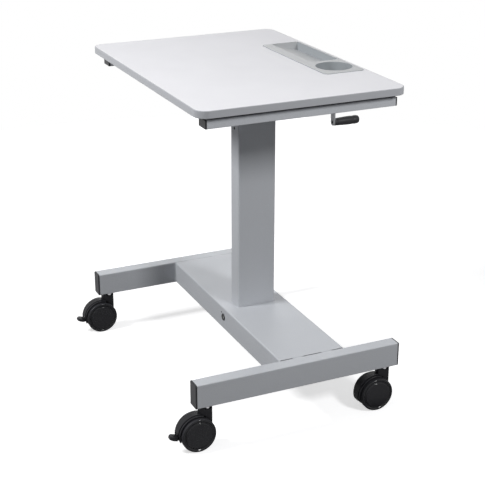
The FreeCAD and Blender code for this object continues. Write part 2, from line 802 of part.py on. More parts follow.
def bevel_gear(bore):
    """A 45 degree bevel gear with its apex at the origin and its body on the -Z side."""
    slant = pitch_radius * math.sqrt(2)
    inner_share = (slant - gear_face) / slant
    down = tooth_root_depth * gear_module
    up = tooth_tip_height * gear_module
    pitch = math.pi * gear_module
    half_root = pitch / 4 - gear_backlash / 4
    half_tip = half_root * tooth_tip_share
    along = V(1, 0, -1) / math.sqrt(2)
    out = V(1, 0, 1) / math.sqrt(2)
    sunk = -down - tooth_sink
    section = ((sunk, half_root), (up, half_tip), (up, -half_tip), (sunk, -half_root))
    corner = [along * slant + out * height + Y_AXIS * width for height, width in section]
    near = [p * inner_share for p in corner]
    faces = [Part.Face(Part.makePolygon(corner + corner[:1])), Part.Face(Part.makePolygon(near + near[:1]))]
    for i in range(4):
        j = (i + 1) % 4
        faces.append(Part.Face(Part.makePolygon([corner[i], corner[j], near[j], near[i], corner[i]])))
    tooth = Part.Solid(Part.Shell(faces))
    tooth = tooth if tooth.Volume > 0 else tooth.reversed()
    root_far = along * slant - out * down
    root_near = root_far * inner_share
    base_z = -pitch_radius - gear_hub
    hub_edge = V(root_far.x - gear_back_taper, 0, base_z)
    outline = [V(0, 0, root_near.z), root_near, root_far, hub_edge, V(0, 0, base_z)]
    body = Part.Face(Part.makePolygon(outline + outline[:1])).revolve(V(0, 0, 0), Z_AXIS, 360)
    teeth = []
    for i in range(gear_teeth):
        copy = tooth.copy()
        copy.rotate(V(0, 0, 0), Z_AXIS, 360.0 * i / gear_teeth)
        teeth.append(copy)
    gear = body.fuse(teeth)
    return gear.cut(rod(bore, V(0, 0, base_z - drill_past), Z_AXIS, drill_past - base_z)).removeSplitter()


def screw_gear():
    """Bevel gear on the lead screw's journal."""
    gear = bevel_gear(journal_radius)
    gear.rotate(V(0, 0, 0), Z_AXIS, 90.0 + 180.0 / gear_teeth)
    gear.translate(apex)
    return gear


def crank_gear():
    """Bevel gear on the crank shaft, in mesh with the screw's gear."""
    gear = bevel_gear(shaft_radius)
    gear.rotate(V(0, 0, 0), X_AXIS, 90.0)
    gear.rotate(V(0, 0, 0), Y_AXIS, 90.0)
    gear.translate(apex)
    return gear


def lead_screw():
    """Lift screw with a journal for its bearing and gear at the top."""
    thread_top = web_bottom - thread_top_gap
    body = rod(screw_radius, V(column_x, column_y, screw_bottom), Z_AXIS, thread_top - screw_bottom)
    journal_top = axis_z - pitch_radius + journal_in_gear
    journal = rod(journal_radius, V(column_x, column_y, thread_top), Z_AXIS, journal_top - thread_top)
    return body.fuse(journal).removeSplitter()


def screw_bearing():
    """Thrust bearing that hangs the screw on the saddle's web."""
    height = axis_z - pitch_radius - gear_hub - side_gap - web_top
    foot_of_ring = V(column_x, column_y, web_top)
    return ring(bearing_radius, journal_radius + running_clearance, foot_of_ring, Z_AXIS, height)


def gearbox_housing():
    """Open-topped cast box round the bevel gears."""
    x0 = column_x - housing_half_width
    x1 = column_x + housing_half_width
    y0 = column_y - housing_front
    y1 = column_y + housing_back
    outer = rounded(box(x0, x1, y0, y1, web_top, housing_top), housing_corner_radius, Z_AXIS)
    w = housing_wall
    inner = box(x0 + w, x1 - w, y0 + w, y1 - w, web_top + w, housing_top)
    cut_length = w + 2 * drill_past
    seat = rod(bearing_radius, V(column_x, column_y, web_top - drill_past), Z_AXIS, cut_length)
    exit_start = V(column_x, y1 - w - drill_past, axis_z)
    exit_hole = rod(shaft_radius + shaft_exit_clearance, exit_start, Y_AXIS, cut_length)
    return outer.cut(inner).cut(seat).cut(exit_hole)


def gearbox_cover():
    """Flat lid on the gearbox."""
    lid = box(column_x - housing_half_width, column_x + housing_half_width,
              column_y - housing_front, column_y + housing_back, housing_top, housing_top + housing_cover)
    return rounded(lid, housing_corner_radius, Z_AXIS)


def crank_tube():
    """Fixed tube from the saddle to the back edge that carries the crank shaft."""
    y0 = column_y + bracket_inside / 2
    return ring(shaft_tube_radius, shaft_tube_radius - shaft_tube_wall, V(column_x, y0, axis_z), Y_AXIS,
                shaft_tube_back - y0)


def crank_bushes():
    """Two plain bushes in the ends of the crank tube."""
    y0 = column_y + bracket_inside / 2
    return [ring(shaft_tube_radius - shaft_tube_wall, shaft_radius + running_clearance,
                 V(column_x, y, axis_z), Y_AXIS, bush_length) for y in (y0, shaft_tube_back - bush_length)]


def crank_shaft():
    """Round shaft from the crank gear to the crank arm."""
    y0 = column_y + pitch_radius - shaft_in_gear
    return rod(shaft_radius, V(column_x, y0, axis_z), Y_AXIS, arm_back_y + shaft_through_arm - y0)


def crank_arm():
    """Flat bar with rounded ends between the shaft and the grip."""
    half = arm_width / 2
    bar = box(column_x - half, column_x + half, arm_front_y, arm_back_y, grip_z, axis_z)
    bar = bar.fuse(rod(half, V(column_x, arm_front_y, axis_z), Y_AXIS, arm_thickness))
    bar = bar.fuse(rod(half, V(column_x, arm_front_y, grip_z), Y_AXIS, arm_thickness))
    cut_front = arm_front_y - drill_past
    cut_length = arm_thickness + 2 * drill_past
    bar = bar.cut(rod(shaft_radius, V(column_x, cut_front, axis_z), Y_AXIS, cut_length))
    bar = bar.cut(rod(spindle_radius, V(column_x, cut_front, grip_z), Y_AXIS, cut_length))
    return bar.removeSplitter()


def grip_spindle():
    """Headed pin riveted in the arm; the grip turns on it."""
    y_end = grip_start_y + grip_length - grip_end_recess
    pin = rod(spindle_radius, V(column_x, arm_front_y, grip_z), Y_AXIS, y_end - arm_front_y)
    head = rod(spindle_head_radius, V(column_x, y_end - spindle_head, grip_z), Y_AXIS, spindle_head)
    return pin.fuse(head).removeSplitter()


def crank_grip():
    """Black tapered grip with a rounded bead at its end."""
    y0 = grip_start_y
    y1 = y0 + grip_length
    cone = Part.makeCone(grip_radius_near, grip_radius_far, grip_length, V(column_x, y0, grip_z), Y_AXIS)
    rims = [e for e in cone.Edges if e.Closed and len(e.Vertexes) == 1]
    grip = cone.makeFillet(grip_rim_radius, rims)
    grip = grip.cut(rod(spindle_radius + running_clearance, V(column_x, y0, grip_z), Y_AXIS, grip_length))
    head_y = y1 - grip_end_recess - spindle_head - side_gap
    return grip.cut(rod(spindle_head_radius + side_gap, V(column_x, head_y, grip_z), Y_AXIS, y1 - head_y))


# ---- write every node -----------------------------------------------------------------------
save("foot_left", foot(-foot_x))
save("foot_right", foot(foot_x))
save("foot_end_caps", *foot_caps())
save("base_beam", base_beam())
save("beam_stiffener", beam_stiffener())
save("base_bolts", *base_bolts())
save("access_plugs", *access_plugs())
save("beam_grommet", side_grommet())
save("outer_column", outer_column())
save("column_foot_plate", column_foot_plate())
save("upper_glide", upper_glide())
save("glide_screw", glide_screw())
save("nut_tube", nut_tube())
save("lift_nut", lift_nut())
save("caster_sockets", *caster_sockets())
save("caster_stems", *caster_stems())
for caster_name, stem_x, stem_y in stem_places():
    has_brake = caster_name.startswith("front")
    save("hood_" + caster_name, caster_hood(stem_x, stem_y, has_brake))
    save("axle_" + caster_name, caster_axle(stem_x, stem_y))
    save("wheel_" + caster_name + "_a", caster_wheel(stem_x, stem_y, -1))
    save("wheel_" + caster_name + "_b", caster_wheel(stem_x, stem_y, 1))
    if has_brake:
        save("brake_" + caster_name, brake_lever(stem_x, stem_y))
save("inner_column", inner_column())
save("lower_glide", lower_glide())
save("head_bracket", head_bracket())
save("cross_tubes", *cross_tubes())
save("rail_left", rail(-1))
save("rail_right", rail(1))
save("rail_end_caps", *rail_caps())
save("rail_spacers", *rail_spacers())
save("table_screws", *table_screws())
save("table_core", table_core())
save("table_laminate", table_laminate())
save("table_backer", table_backer())
save("edge_band", edge_band())
save("pen_tray", pen_tray())
save("gearbox_housing", gearbox_housing())
save("gearbox_cover", gearbox_cover())
save("screw_bearing", screw_bearing())
save("crank_tube", crank_tube())
save("crank_bushes", *crank_bushes())
save("lead_screw", lead_screw())
save("screw_gear", screw_gear())
save("crank_shaft", crank_shaft())
save("crank_gear", crank_gear())
save("crank_arm", crank_arm())
save("grip_spindle", grip_spindle())
save("crank_grip", crank_grip())
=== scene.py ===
import json
import math

import bmesh
import bpy
from mathutils import Matrix, Vector


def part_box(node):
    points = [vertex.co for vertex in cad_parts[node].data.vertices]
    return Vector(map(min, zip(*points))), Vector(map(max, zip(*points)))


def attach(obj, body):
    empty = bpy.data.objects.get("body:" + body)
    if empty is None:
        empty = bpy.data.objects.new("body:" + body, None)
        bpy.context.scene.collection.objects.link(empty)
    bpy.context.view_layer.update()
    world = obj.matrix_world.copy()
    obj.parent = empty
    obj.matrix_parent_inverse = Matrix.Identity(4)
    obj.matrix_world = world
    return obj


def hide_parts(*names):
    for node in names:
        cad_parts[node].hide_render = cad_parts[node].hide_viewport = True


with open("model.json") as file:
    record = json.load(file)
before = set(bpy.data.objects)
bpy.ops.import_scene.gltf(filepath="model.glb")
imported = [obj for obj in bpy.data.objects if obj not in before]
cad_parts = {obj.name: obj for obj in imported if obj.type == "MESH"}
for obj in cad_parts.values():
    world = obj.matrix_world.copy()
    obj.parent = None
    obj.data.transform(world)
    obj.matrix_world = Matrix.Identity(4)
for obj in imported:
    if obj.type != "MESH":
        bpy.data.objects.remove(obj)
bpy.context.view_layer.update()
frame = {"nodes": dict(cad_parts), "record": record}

# The looks of a hand-cranked height adjustable desk, in metres, built up from the base to the top.
# +X is the user's right, +Y points away from the user, and z = 0 is the floor.
MM = 0.001
X_AXIS = Vector((1, 0, 0))
Y_AXIS = Vector((0, 1, 0))
Z_AXIS = Vector((0, 0, 1))


# ---- Foot tubes ---------------------------------------------------------------------------------
# Two rectangular steel tubes that run from front to back, one at each end of the base.
# They are roll-formed with small corner radii, cut square, welded to the beam and powder coated.
foot_corner = 2.5 * MM
foot_wall = 2.0 * MM


def hex_colour(code):
    """A linear colour from an sRGB hex code."""
    channels = [int(code[i:i + 2], 16) / 255 for i in (1, 3, 5)]
    linear = [c / 12.92 if c <= 0.04045 else ((c + 0.055) / 1.055) ** 2.4 for c in channels]
    return (*linear, 1.0)


def add_node(tree, kind, settings=None, links=None):
    """Adds a shader node: settings are its own properties or its inputs' values, links feed its inputs."""
    node = tree.nodes.new(kind)
    for name, value in (settings or {}).items():
        if isinstance(name, int) or name in node.inputs:
            node.inputs[name].default_value = value
        else:
            setattr(node, name, value)
    for name, socket in (links or {}).items():
        tree.links.new(socket, node.inputs[name])
    return node


def blank_material(name):
    """A material with an empty node tree, and its object coordinates."""
    material = bpy.data.materials.new(name)
    material.use_nodes = True
    tree = material.node_tree
    tree.nodes.clear()
    return material, tree, add_node(tree, "ShaderNodeTexCoord").outputs["Object"]


def make_finish(name, colour, relief=None, sheen=None, surface=None, stretch=(1.0, 1.0, 1.0)):
    """A surface finish, each part of it made by a noise of a real size on object coordinates.

    colour is (size, detail, dark shade, light shade), relief is (size, detail, strength, depth) of a bump,
    sheen is (size, detail, low, high) of the roughness, and surface holds the shader's own settings.
    """
    material, tree, place = blank_material(name)
    place = add_node(tree, "ShaderNodeMapping", {"Scale": stretch}, {"Vector": place}).outputs["Vector"]
    patches = {}
    for part in (colour, relief, sheen):
        if part:
            size, detail = part[:2]
            noise = add_node(tree, "ShaderNodeTexNoise", {"Scale": 1 / size, "Detail": detail},
                             {"Vector": place})
            patches[part] = noise.outputs["Fac"]
    shades = {"data_type": "RGBA", "A": hex_colour(colour[2]), "B": hex_colour(colour[3])}
    tone = add_node(tree, "ShaderNodeMix", shades, {"Factor": patches[colour]})
    links = {"Base Color": tone.outputs["Result"]}
    if relief:
        bump = add_node(tree, "ShaderNodeBump", {"Strength": relief[2], "Distance": relief[3]},
                        {"Height": patches[relief]})
        links["Normal"] = bump.outputs["Normal"]
    if sheen:
        span = {"From Min": 0.3, "From Max": 0.7, "To Min": sheen[2], "To Max": sheen[3]}
        gloss = add_node(tree, "ShaderNodeMapRange", span, {"Value": patches[sheen]})
        links["Roughness"] = gloss.outputs["Result"]
    shader = add_node(tree, "ShaderNodeBsdfPrincipled", surface, links)
    add_node(tree, "ShaderNodeOutputMaterial", links={"Surface": shader.outputs["BSDF"]})
    return material


def block(low, high):
    """A block between two corners."""
    bm = bmesh.new()
    bmesh.ops.create_cube(bm, size=1.0)
    bmesh.ops.scale(bm, vec=high - low, verts=bm.verts)
    bmesh.ops.translate(bm, vec=(low + high) / 2, verts=bm.verts)
    bm.normal_update()
    return bm


def edges_along(bm, axis):
    """The edges that run along an axis."""
    return [e for e in bm.edges if abs((e.verts[1].co - e.verts[0].co).normalized().dot(axis)) > 0.999]


def faces_towards(bm, direction):
    """The faces that look in a direction."""
    bm.normal_update()
    return [f for f in bm.faces if f.normal.dot(direction) > 0.99]


def round_edges(bm, edges, radius, segments=4):
    """Rounds edges to a radius."""
    bmesh.ops.bevel(bm, geom=edges, offset=radius, offset_type="OFFSET", affect="EDGES",
                    segments=segments, profile=0.5, material=-1)
    bm.normal_update()


def make_piece(bm, name, material, wall=0.0, crisp=32):
    """An object from a bmesh, merged and facing outwards, smooth but for its crisp edges.

    A wall thickness makes it a shell.
    """
    bmesh.ops.remove_doubles(bm, verts=bm.verts, dist=0.001 * MM)
    bmesh.ops.recalc_face_normals(bm, faces=bm.faces)
    mesh = bpy.data.meshes.new(name)
    bm.to_mesh(mesh)
    bm.free()
    mesh.materials.append(material)
    mesh.shade_smooth()
    mesh.set_sharp_from_angle(angle=math.radians(crisp))
    piece = bpy.data.objects.new(name, mesh)
    bpy.context.scene.collection.objects.link(piece)
    if wall:
        shell = piece.modifiers.new("wall", "SOLIDIFY")
        shell.thickness = wall
        shell.offset = -1.0
    weighted = piece.modifiers.new("even shading", "WEIGHTED_NORMAL")
    weighted.keep_sharp = True
    return piece


def tube(low, high, axis, corner):
    """The outside of a rectangular tube along an axis, open at both ends."""
    bm = block(low, high)
    round_edges(bm, edges_along(bm, axis), corner)
    ends = faces_towards(bm, axis) + faces_towards(bm, -axis)
    bmesh.ops.delete(bm, geom=ends, context="FACES_ONLY")
    return bm


# Baked silver-grey powder coat: an even satin grey with a fine pebbled skin and a little metal flake.
# The pebbles are about 0.7 mm on a real coat; they are drawn 1.4 mm wide so that they show.
pebble = 1.4 * MM
coat = make_finish("silver_powder_coat", (pebble, 2.0, "#B4B7BC", "#D2D5DA"),
                   relief=(pebble, 2.0, 0.35, 0.12 * MM), sheen=(70 * MM, 3.0, 0.48, 0.58),
                   surface={"Metallic": 0.04, "Specular IOR Level": 0.35})
for side in ("left", "right"):
    foot_low, foot_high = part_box("foot_" + side)
    foot = make_piece(tube(foot_low, foot_high, Y_AXIS, foot_corner), "foot_tube_" + side, coat,
                      wall=foot_wall)
    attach(foot, "root")
    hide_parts("foot_" + side)


# ---- Plugs in the feet --------------------------------------------------------------------------
# Black moulded plugs pressed into both ends of each foot. The head is as large as the tube, with a
# softened edge, and a stub behind it grips the inside of the tube.
plug_edge = 1.2 * MM
plug_stub = 14.0 * MM
plug_clearance = 0.2 * MM


def add_to(bm, other):
    """Moves everything in another bmesh into this one."""
    carrier = bpy.data.meshes.new("carrier")
    other.to_mesh(carrier)
    other.free()
    bm.from_mesh(carrier)
    bpy.data.meshes.remove(carrier)


def end_plug(tube_low, tube_high, end, outwards, corner, wall):
    """A plug for one end of a tube that runs along Y: a head outside and a stub inside."""
    y_tube = tube_high.y if outwards > 0 else tube_low.y
    low = Vector((tube_low.x, min(y_tube, end), tube_low.z))
    high = Vector((tube_high.x, max(y_tube, end), tube_high.z))
    bm = block(low, high)
    round_edges(bm, edges_along(bm, Y_AXIS), corner)
    head = faces_towards(bm, Y_AXIS * outwards)
    round_edges(bm, [e for f in head for e in f.edges], plug_edge, 3)
    gap = Vector((wall + plug_clearance, 0, wall + plug_clearance))
    stub_low = Vector((tube_low.x, min(y_tube, y_tube - outwards * plug_stub), tube_low.z)) + gap
    stub_high = Vector((tube_high.x, max(y_tube, y_tube - outwards * plug_stub), tube_high.z)) - gap
    add_to(bm, block(stub_low, stub_high))
    return bm


# Injection moulded black polypropylene: near black, satin, with a fine spark-eroded grain.
# The grain is about 0.3 mm on the real part; it is drawn 0.9 mm wide so that it shows.
grain = 0.9 * MM
black_plastic = make_finish("moulded_black_polypropylene", (grain, 2.0, "#141418", "#2E2E32"),
                            relief=(grain, 2.0, 0.3, 0.08 * MM),
                            surface={"Roughness": 0.42, "Specular IOR Level": 0.3})
caps_low, caps_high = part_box("foot_end_caps")
for side in ("left", "right"):
    foot_low, foot_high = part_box("foot_" + side)
    for place_name, end, outwards in (("front", caps_low.y, -1), ("back", caps_high.y, 1)):
        plug = make_piece(end_plug(foot_low, foot_high, end, outwards, foot_corner, foot_wall),
                          f"foot_plug_{place_name}_{side}", black_plastic)
        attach(plug, "root")
        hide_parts("foot_end_caps")


# ---- Base beam ----------------------------------------------------------------------------------
# A wide flat box beam of folded steel sheet that joins the two feet. Its long edges are folded to a
# soft radius, and it is welded to the feet and coated in one go with them.
beam_corner = 4.0 * MM
beam_wall = 2.0 * MM
beam_gap = 1.8 * MM  # left at each foot for the weld

beam_low, beam_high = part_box("base_beam")
short = X_AXIS * beam_gap
beam = make_piece(tube(beam_low + short, beam_high - short, X_AXIS, beam_corner), "base_beam_box", coat,
                  wall=beam_wall)
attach(beam, "root")
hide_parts("base_beam")


# ---- Weld beads ---------------------------------------------------------------------------------
# Short runs of weld join the beam to the feet: up the front and back corners, and two stitches in
# each seam on top. They are rippled beads under the same powder coat.
weld_radius = 2.2 * MM
weld_ripple = 2.4 * MM
ripple_dip = 0.82  # share of the radius that is left between two ripples
weld_sink = 0.5  # share of the radius that the seam swallows on top
stitch_length = 26.0 * MM
stitch_inset = 34.0 * MM


def lathe(outline, centre, axis, steps=64):
    """Turns an outline round an axis; its points are (distance along the axis, radius, corner rounding)."""
    across = axis.orthogonal().normalized()
    bm = bmesh.new()
    points = [bm.verts.new(centre + axis * along + across * radius) for along, radius, rounding in outline]
    for pair in zip(points, points[1:]):
        bm.edges.new(pair)
    for point, (along, radius, rounding) in zip(points, outline):
        if rounding:
            bmesh.ops.bevel(bm, geom=[point], offset=rounding, offset_type="OFFSET", affect="VERTICES",
                            segments=4, profile=0.5, material=-1)
    bmesh.ops.spin(bm, geom=bm.verts[:] + bm.edges[:], cent=centre, axis=axis, dvec=(0, 0, 0),
                   angle=math.tau, steps=steps, use_merge=True)
    bmesh.ops.remove_doubles(bm, verts=bm.verts, dist=0.001 * MM)
    return bm


def weld_bead(start, end, name):
    """A straight run of weld: a rod with a ripple in its outline."""
    ripples = round((end - start).length / weld_ripple)
    outline = [(0, 0, 0)]
    for i in range(2 * ripples + 1):
        swell = 1.0 if i % 2 else ripple_dip
        outline.append((i * weld_ripple / 2, weld_radius * swell, 0))
    outline.append((ripples * weld_ripple, 0, 0))
    bead = make_piece(lathe(outline, start, (end - start).normalized(), 10), name, coat, crisp=80)
    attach(bead, "root")


for side, x in (("left", beam_low.x), ("right", beam_high.x)):
    inwards = -math.copysign(1, x)
    corner_x = x + inwards * weld_radius / 4
    for place_name, y, out in (("front", beam_low.y, -1), ("back", beam_high.y, 1)):
        corner_y = y + out * weld_radius / 4
        weld_bead(Vector((corner_x, corner_y, beam_low.z + beam_corner)),
                  Vector((corner_x, corner_y, beam_high.z - beam_corner)), f"weld_{place_name}_{side}")
        seam_y = y - out * stitch_inset
        seam_z = beam_high.z - weld_radius * weld_sink - foot_corner / 3
        weld_bead(Vector((x, seam_y, seam_z)), Vector((x, seam_y - out * stitch_length, seam_z)),
                  f"weld_stitch_{place_name}_{side}")


# ---- Plug in the beam's front wall --------------------------------------------------------------
# A round black plug with a raised ring, snapped into a hole in the beam's front wall and locked by a
# plated pin in its middle. A tiny vent plug sits beside it.
ring_proud = 2.0 * MM
ring_crown = 0.8 * MM
pin_radius = 4.2 * MM
pin_well = 0.6 * MM  # the pin's seat lies this deep in the ring
plug_neck = 6.9 * MM
vent_radius = 2.0 * MM
vent_offset = Vector((-12.0 * MM, 0, 9.5 * MM))

# Bright zinc plate on pressed steel: a pale cool metal, slightly cloudy.
zinc = make_finish("zinc_plated_steel", (6 * MM, 4.0, "#8E8F8C", "#D1D2CF"),
                   sheen=(6 * MM, 4.0, 0.28, 0.42), surface={"Metallic": 1.0})
grommet_low, grommet_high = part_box("beam_grommet")
grommet_radius = (grommet_high.x - grommet_low.x) / 2
grommet_centre = Vector(((grommet_low.x + grommet_high.x) / 2, beam_low.y,
                         (grommet_low.z + grommet_high.z) / 2))
ring_outline = [(-5.0 * MM, 0, 0), (-5.0 * MM, plug_neck, 0), (0, plug_neck, 0), (0, grommet_radius, 0),
                (ring_proud, grommet_radius - ring_crown, ring_crown),
                (ring_proud, pin_radius + 1.2 * MM, ring_crown),
                (-pin_well, pin_radius + 0.2 * MM, 0), (-pin_well, 0, 0)]
ring = make_piece(lathe(ring_outline, grommet_centre, -Y_AXIS, 40), "beam_plug_ring", black_plastic)
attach(ring, "root")
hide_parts("beam_grommet")

pin_outline = [(-pin_well, 0, 0), (-pin_well, pin_radius, 0), (0.6 * MM, pin_radius, 0.5 * MM),
               (1.1 * MM, 0, 0)]
pin = make_piece(lathe(pin_outline, grommet_centre, -Y_AXIS, 32), "beam_plug_pin", zinc)
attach(pin, "root")

vent_outline = [(-1.0 * MM, 0, 0), (-1.0 * MM, vent_radius, 0), (0.7 * MM, vent_radius, 0.4 * MM),
                (0.7 * MM, 0, 0)]
vent = make_piece(lathe(vent_outline, grommet_centre + vent_offset, -Y_AXIS, 24), "beam_vent_plug",
                  black_plastic)
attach(vent, "root")


# ---- Outer column -------------------------------------------------------------------------------
# The fixed outer tube of the telescopic column, a rectangular steel tube with its narrow side to the
# user, bolted down from inside the beam and powder coated like the base.
column_corner = 4.0 * MM
column_wall = 2.0 * MM

column_low, column_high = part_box("outer_column")
column = make_piece(tube(column_low, column_high, Z_AXIS, column_corner), "outer_column_tube", coat,
                    wall=column_wall)
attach(column, "root")
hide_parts("outer_column")


# ---- Glide collar and its screw -----------------------------------------------------------------
# A black nylon collar lines the mouth of the outer tube and guides the inner one. A small blackened
# button screw through the front wall holds it.
screw_recess = 1.7 * MM
screw_recess_depth = 0.8 * MM


def dress(material, *nodes):
    """Gives CAD nodes a finished material."""
    for node in nodes:
        for material_slot in frame["nodes"][node].material_slots:
            material_slot.material = material


# Natural black nylon, machined and moulded: dark, waxy and slightly uneven.
glide_nylon = make_finish("black_nylon", (5 * MM, 3.0, "#181A1C", "#323236"),
                          surface={"Roughness": 0.5, "IOR": 1.53})
# Blackened and oiled steel: a dark brown-black with a low sheen, as on small button screws.
black_steel = make_finish("blackened_steel", (1.5 * MM, 2.0, "#131213", "#343331"),
                          surface={"Metallic": 0.6, "Roughness": 0.4})
dress(glide_nylon, "upper_glide", "lower_glide", "crank_bushes")

screw_low, screw_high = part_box("glide_screw")
head_radius = (screw_high.x - screw_low.x) / 2
screw_centre = Vector(((screw_low.x + screw_high.x) / 2, column_low.y, (screw_low.z + screw_high.z) / 2))
head_proud = column_low.y - screw_low.y
shank_end = column_low.y - screw_high.y
head_outline = [(shank_end, 0, 0), (shank_end, 2.0 * MM, 0), (0, 2.0 * MM, 0), (0, head_radius, 0),
                (head_proud, head_radius * 0.75, 0.5 * MM), (head_proud, screw_recess, 0),
                (head_proud - screw_recess_depth, screw_recess, 0), (head_proud - screw_recess_depth, 0, 0)]
head = make_piece(lathe(head_outline, screw_centre, -Y_AXIS, 24), "glide_screw_head", black_steel)
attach(head, "root")
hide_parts("glide_screw")


# ---- Caster stems -------------------------------------------------------------------------------
# Bright plated stems with a collar, pushed up into bushes welded inside the feet.
# Each caster hood turns on its stem.
stem_radius = 5.5 * MM
collar_radius = 7.5 * MM
collar_height = 8.5 * MM
stem_inset = 28.0 * MM  # the stem stands this far behind the wheels' axle
caster_names = ("front_left", "front_right", "back_left", "back_right")


def wheel_hub(name):
    """Centre of a caster between its two wheels, on their axle."""
    return (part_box(f"wheel_{name}_a")[0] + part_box(f"wheel_{name}_b")[1]) / 2


# Bright nickel plate on a turned stem: pale, with a sheen that spreads over the turning marks.
nickel = make_finish("bright_nickel_plate", (4 * MM, 2.0, "#D9D9DC", "#D9D9DC"),
                     sheen=(4 * MM, 2.0, 0.24, 0.34), surface={"Metallic": 1.0})
stems_low, stems_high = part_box("caster_stems")
for name in caster_names:
    hub = wheel_hub(name)
    stem_foot = Vector((hub.x, hub.y + stem_inset, 0))
    collar_low = foot_low.z - collar_height
    stem_outline = [(stems_low.z, 0, 0), (stems_low.z, stem_radius, 0.8 * MM), (collar_low, stem_radius, 0),
                    (collar_low, collar_radius, 0.5 * MM), (foot_low.z, collar_radius, 0.3 * MM),
                    (foot_low.z, stem_radius, 0), (stems_high.z, stem_radius, 0.8 * MM),
                    (stems_high.z, 0, 0)]
    stem = make_piece(lathe(stem_outline, stem_foot, Z_AXIS, 32), "caster_stem_" + name, nickel)
    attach(stem, "root")
    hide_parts("caster_stems")


# ---- Caster hoods -------------------------------------------------------------------------------
# One moulded nylon hood for each twin-wheel caster: a web between the wheels, a fender over them with
# stepped shoulders, and a block with a bore for the stem. The front ones have ears for a brake lever.
web_half = 9.0 * MM
boss_radius = 12.0 * MM
fender_half = 15.5 * MM
fender_height = 6.0 * MM  # of its crown above the tread
fender_thickness = 4.0 * MM
fender_step = 1.4 * MM
groove_in = 9.0 * MM
groove_out = 10.6 * MM
groove_depth = 2.9 * MM
fender_start = 72.0  # degrees round the axle, where 0 is to the back and 90 is up
fender_end = {"front": 172.0, "back": 196.0}
cheek_width = 2.9 * MM  # the fender's sides run on past the brake lever
cheek_end = 195.0
hood_edge = 0.7 * MM
stem_dip = 9.0 * MM  # depth below the foot of the saddle that the stem comes out of
saddle_foot = 60.0 * MM  # height of the stem block's lower end
ear_radius = 6.5 * MM
ear_width = 2.0 * MM


def lever_pivot(hub):
    """Where a brake lever is hinged, 40 mm in front of the axle and a little below it."""
    turn = math.radians(190)
    return hub + (Y_AXIS * math.cos(turn) + Z_AXIS * math.sin(turn)) * 40.0 * MM


def arc_bar(section, hub, start, end, steps):
    """A bar bent round a wheel's axle: section points are (sideways, radius); 0 degrees is +Y, 90 is up."""
    out = Y_AXIS * math.cos(math.radians(start)) + Z_AXIS * math.sin(math.radians(start))
    bm = bmesh.new()
    corners = [bm.verts.new(hub + X_AXIS * sideways + out * radius) for sideways, radius in section]
    bm.faces.new(corners)
    bmesh.ops.spin(bm, geom=bm.verts[:] + bm.edges[:] + bm.faces[:], cent=hub, axis=X_AXIS, dvec=(0, 0, 0),
                   angle=math.radians(end - start), steps=steps)
    bmesh.ops.recalc_face_normals(bm, faces=bm.faces)
    return bm


def cut_plate(outline, origin, across, up, through, edge=0.0):
    """A flat shape with a thickness: outline points are (across, up, corner rounding)."""
    bm = bmesh.new()
    points = [bm.verts.new(origin + across * a + up * b) for a, b, rounding in outline]
    for pair in zip(points, points[1:] + points[:1]):
        bm.edges.new(pair)
    for point, (a, b, rounding) in zip(points, outline):
        if rounding:
            bmesh.ops.bevel(bm, geom=[point], offset=rounding, offset_type="OFFSET", affect="VERTICES",
                            segments=5, profile=0.5, material=-1)
    bmesh.ops.edgeloop_fill(bm, edges=bm.edges[:])
    pushed = bmesh.ops.extrude_face_region(bm, geom=bm.faces[:])
    bmesh.ops.translate(bm, vec=through,
                        verts=[v for v in pushed["geom"] if isinstance(v, bmesh.types.BMVert)])
    bmesh.ops.recalc_face_normals(bm, faces=bm.faces)
    if edge:
        flats = faces_towards(bm, through.normalized()) + faces_towards(bm, -through.normalized())
        round_edges(bm, list({e for f in flats for e in f.edges}), edge, 2)
    return bm


